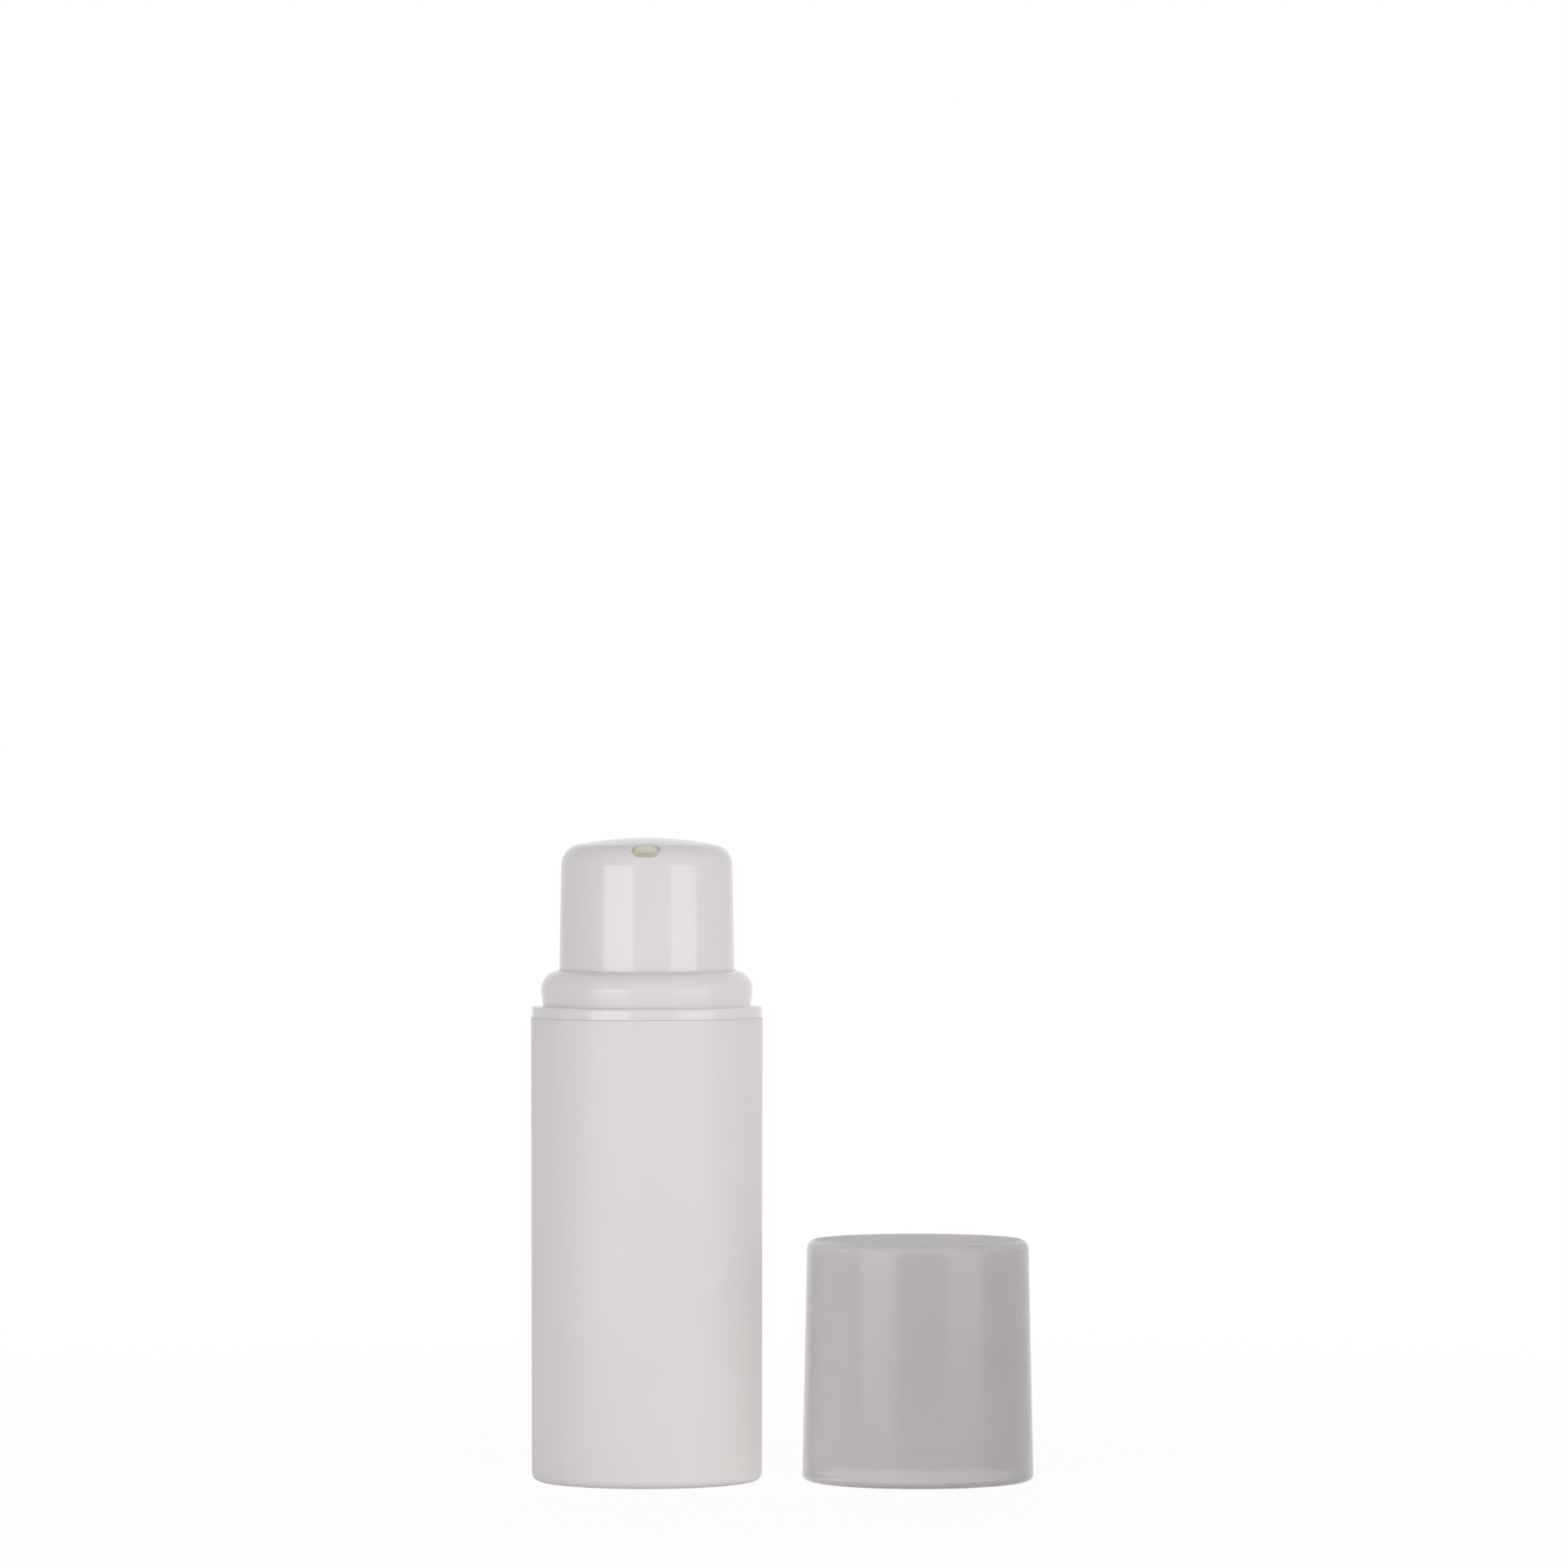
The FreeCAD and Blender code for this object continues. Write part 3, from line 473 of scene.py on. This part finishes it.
def make_bottle(looks):
    """The moulded cup: rounded base, standing ring round a hollow with the vent, and snap-in mouth."""
    rim = box_mm("bottle")[1]
    seat = box_mm("housing_gasket")[0].z
    base_radius = rim.y - BODY_DRAFT
    foot = base_radius - BASE_ROUND - FOOT_WIDTH
    bore = rim.y - BOTTLE_WALL
    mouth = bore + SEAT_WIDTH
    floor = BASE_RECESS + FLOOR_THICKNESS
    groove = snap_ring(mouth, rim.z - SNAP_DEPTH, PLUG_CLEARANCE)
    outline = [
        (foot, 0.0, EDGE_ROUND),
        (base_radius, 0.0, BASE_ROUND),
        (rim.y, rim.z, RIM_ROUND),
        (mouth, rim.z, RIM_ROUND),
        *reversed(groove),
        (mouth, seat, 0.0),
        (bore, seat, EDGE_ROUND),
        (bore, floor, SOFT_ROUND),
        (VENT_RADIUS, floor, EDGE_ROUND),
        (VENT_RADIUS, BASE_RECESS, EDGE_ROUND),
        (foot, BASE_RECESS, SOFT_ROUND),
    ]
    put(turned_mesh("bottle_shell", outline), "bottle_unit", "bottle", "satin_white", looks)


def make_collar(looks):
    """The ring in the bottle's mouth: plug, shoulder over the rim, neck and the bead for the cap."""
    plug_foot = box_mm("collar")[0].z
    top = box_mm("collar")[1].z
    rim = box_mm("bottle")[1]
    lip = rim.y - CAP_LIP_WALL
    neck = lip - NECK_CLEARANCE
    bead = lip + CAP_SNAP
    throat = neck - COLLAR_WALL
    plug = rim.y - BOTTLE_WALL + SEAT_WIDTH - PLUG_CLEARANCE
    shoulder = rim.y - SHOULDER_INSET
    shoulder_top = rim.z + SHOULDER_HEIGHT
    bead_level = shoulder_top + BEAD_HEIGHT
    crown_rise = top - bead_level
    crown_reach = bead - throat - CROWN_LAND
    crown_curve = (crown_reach ** 2 + crown_rise ** 2) / (2 * crown_reach)
    crown_turn = math.degrees(math.asin(crown_rise / crown_curve))
    outline = [
        (throat + THROAT_RELIEF, plug_foot, EDGE_ROUND),
        (plug, plug_foot, EDGE_ROUND),
        *snap_ring(plug, rim.z - SNAP_DEPTH, 0.0),
        (plug, rim.z, 0.0),
        (shoulder, rim.z, RIM_ROUND),
        (shoulder, shoulder_top, SHOULDER_ROUND),
        (neck, shoulder_top, EDGE_ROUND),
        *arc((bead - crown_curve, bead_level), crown_curve, 0.0, crown_turn),
        (throat, top, 0.0),
        (throat, top - THROAT_DEPTH, EDGE_ROUND),
        (throat + THROAT_RELIEF, top - THROAT_DEPTH - THROAT_RELIEF, EDGE_ROUND),
    ]
    put(turned_mesh("collar_ring", outline), "bottle_unit", "collar", "gloss_white", looks)


def make_cap(looks):
    """The cap on its mouth: lead-in, snap groove for the collar's bead, and a flat rounded top."""
    low, high = box_mm("cap")
    radius = (high.x - low.x) / 2
    lip = radius - CAP_LIP_WALL
    bead = lip + CAP_SNAP
    top_radius = radius - CAP_DRAFT
    ceiling = high.z - CAP_TOP
    groove = bead + CAP_GROOVE
    groove_over = BEAD_HEIGHT + CAP_GROOVE_HEIGHT / 2
    groove_under = BEAD_HEIGHT - CAP_GROOVE_HEIGHT / 2
    outline = [
        (lip + CAP_LEAD, 0.0, EDGE_ROUND),
        (radius, 0.0, CAP_MOUTH_ROUND),
        (top_radius, high.z, CAP_ROUND),
        (0.0, high.z, 0.0),
        (0.0, ceiling, 0.0),
        (top_radius - CAP_SIDE, ceiling, CAP_INNER_ROUND),
        (bead, groove_over + CAP_GROOVE_RAMP, 0.0),
        (groove, groove_over, 0.0),
        (groove, groove_under, 0.0),
        (lip, groove_under - CAP_GROOVE_RAMP, 0.0),
        (lip, CAP_LEAD, 0.0),
    ]
    piece = turned_mesh("cap_shell", outline, (low.x + high.x) / 2)
    put(piece, "cap_unit", "cap", "frosted_cap", looks)


def coil_point(turn, radius, foot, rise):
    """Centre of the wire after so many turns: the turns lie closer together towards both ends."""
    share = turn / SPRING_TURNS
    angle = 2 * math.pi * turn
    level = foot + rise * (share - SPRING_CLOSING * math.sin(2 * math.pi * share) / (2 * math.pi))
    return Vector((radius * math.cos(angle), radius * math.sin(angle), level))


def make_spring(looks):
    """The return spring as one rigid coil; the real one shortens as the head goes down."""
    low, high = box_mm("return_spring")
    wire = SPRING_WIRE / 2
    radius = high.x - wire
    rise = high.z - low.z - SPRING_WIRE
    count = SPRING_TURNS * SPRING_STEPS_PER_TURN
    sides = [2 * math.pi * side / WIRE_SIDES for side in range(WIRE_SIDES)]
    build = bmesh.new()
    rings = []
    for step in range(count + 1):
        turn = step / SPRING_STEPS_PER_TURN
        centre = coil_point(turn, radius, low.z + wire, rise)
        outward = Vector((centre.x, centre.y, 0.0)).normalized()
        rings.append([build.verts.new((centre + outward * wire * math.cos(side)
                                       + Vector((0.0, 0.0, wire * math.sin(side)))) * MM) for side in sides])
    for ring, following in zip(rings, rings[1:]):
        join_rings(build, ring, following)
    build.faces.new(rings[0])
    build.faces.new(rings[-1])
    piece = mesh_piece("spring_coil", build)
    put(piece, "swivel", "return_spring", "spring_steel", looks)
    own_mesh(piece)


def seen_directly(tree):
    """1 for rays from the camera, or from a mirror or a clear piece, and otherwise 0."""
    path = add_node(tree, "LightPath")
    direct = path.outputs["Is Camera Ray"]
    for name in ("Is Glossy Ray", "Is Transmission Ray"):
        direct = calculate(tree, "MAXIMUM", direct, path.outputs[name])
    return direct


def make_world():
    """A white backdrop for what is seen directly, and soft light from front and back for the rest."""
    world = bpy.data.worlds.new("studio")
    world.use_nodes = True
    tree = world.node_tree
    along = add_node(tree, "VectorMath", {"operation": "DOT_PRODUCT"})
    tree.links.new(add_node(tree, "TexCoord").outputs["Generated"], along.inputs[0])
    along.inputs[1].default_value = FRONT_TO_BACK
    share = calculate(tree, "MULTIPLY", along.outputs["Value"], along.outputs["Value"])
    ambient = blend(tree, share, AMBIENT_SIDE, AMBIENT_FRONT)
    feed(tree, tree.nodes["Background"], "Color", blend(tree, seen_directly(tree), ambient, WHITE))
    bpy.context.scene.world = world


def floor_material():
    """Pale floor that fades to the white of the backdrop away from the bottle and keeps its shadow."""
    material = bpy.data.materials.new("pale_floor")
    material.use_nodes = True
    tree = material.node_tree
    tree.nodes.clear()
    place = add_node(tree, "TexCoord").outputs["Object"]
    distance = add_node(tree, "VectorMath", {"operation": "LENGTH"}, Vector=place).outputs["Value"]
    fade = add_node(tree, "MapRange", {"interpolation_type": "SMOOTHSTEP"}, Value=distance,
                    From_Min=FLOOR_FADE_START, From_Max=FLOOR_FADE_END, To_Min=FLOOR_WHITE_NEAR, To_Max=1.0)
    share = calculate(tree, "MULTIPLY", fade.outputs["Result"], seen_directly(tree))
    matte = add_node(tree, "BsdfDiffuse", Color=FLOOR_COLOUR)
    white = add_node(tree, "Emission", Color=WHITE, Strength=1.0)
    mix = add_node(tree, "MixShader", Fac=share)
    tree.links.new(matte.outputs["BSDF"], mix.inputs[1])
    tree.links.new(white.outputs["Emission"], mix.inputs[2])
    add_node(tree, "OutputMaterial", Surface=mix.outputs["Shader"])
    return material


def make_floor(middle):
    """A wide sheet just under the feet, so that it shares no face with them."""
    mesh = bpy.data.meshes.new("floor")
    reach = FLOOR_HALF_WIDTH
    corners = [(-reach, -reach, 0.0), (reach, -reach, 0.0), (reach, reach, 0.0), (-reach, reach, 0.0)]
    mesh.from_pydata(corners, [], [(0, 1, 2, 3)])
    mesh.materials.append(floor_material())
    floor = bpy.data.objects.new("floor", mesh)
    floor.location = (middle.x, middle.y, -FLOOR_DROP)
    bpy.context.scene.collection.objects.link(floor)


def make_lights(target, nodes):
    """Soft panels round the object; the side fills are flagged off all but their own pieces."""
    for name, lamp in LAMPS.items():
        light = bpy.data.lights.new(name, "AREA")
        light.shape = "RECTANGLE"
        light.size, light.size_y = lamp["size"]
        light.energy = lamp["watts"]
        turn = math.radians(lamp["azimuth"])
        rise = math.radians(lamp["elevation"])
        away = Vector((math.sin(turn) * math.cos(rise), -math.cos(turn) * math.cos(rise), math.sin(rise)))
        panel = bpy.data.objects.new(name, light)
        panel.location = target + away * lamp["distance"]
        panel.rotation_euler = away.to_track_quat("Z", "Y").to_euler()
        panel.visible_glossy = name in REFLECTED
        bpy.context.scene.collection.objects.link(panel)
        if name in FLAGGED:
            lit = bpy.data.collections.new(name + "_lit")
            for piece in FLAGGED[name]:
                lit.objects.link(nodes.get(piece) or bpy.data.objects[piece])
            panel.light_linking.receiver_collection = lit
            light.use_shadow = False


def make_camera():
    """A camera whose picture is as wide as the view at the bottle's axis."""
    camera = bpy.data.cameras.new("camera")
    camera.sensor_fit = "HORIZONTAL"
    camera.sensor_width = SENSOR_WIDTH
    camera.lens = SENSOR_WIDTH * -EYE.y / VIEW_WIDTH_AT_AXIS
    eye = bpy.data.objects.new("camera", camera)
    eye.location = EYE
    eye.rotation_euler = LEVEL_VIEW
    bpy.context.scene.collection.objects.link(eye)
    bpy.context.scene.camera = eye


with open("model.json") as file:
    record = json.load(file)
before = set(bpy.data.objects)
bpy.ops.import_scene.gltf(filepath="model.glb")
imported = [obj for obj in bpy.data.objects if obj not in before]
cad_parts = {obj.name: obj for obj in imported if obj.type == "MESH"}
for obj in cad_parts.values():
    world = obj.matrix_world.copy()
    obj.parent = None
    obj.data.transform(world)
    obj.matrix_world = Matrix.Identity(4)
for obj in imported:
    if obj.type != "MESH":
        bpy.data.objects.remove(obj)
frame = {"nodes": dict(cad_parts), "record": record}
cad_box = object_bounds()
middle = (cad_box[0] + cad_box[1]) / 2
looks = make_looks()
dress(frame, looks)
make_bottle(looks)
make_collar(looks)
make_cap(looks)
make_spring(looks)
make_world()
make_floor(middle)
make_lights(middle, frame["nodes"])
make_camera()
bpy.context.scene.view_settings.view_transform = "Standard"
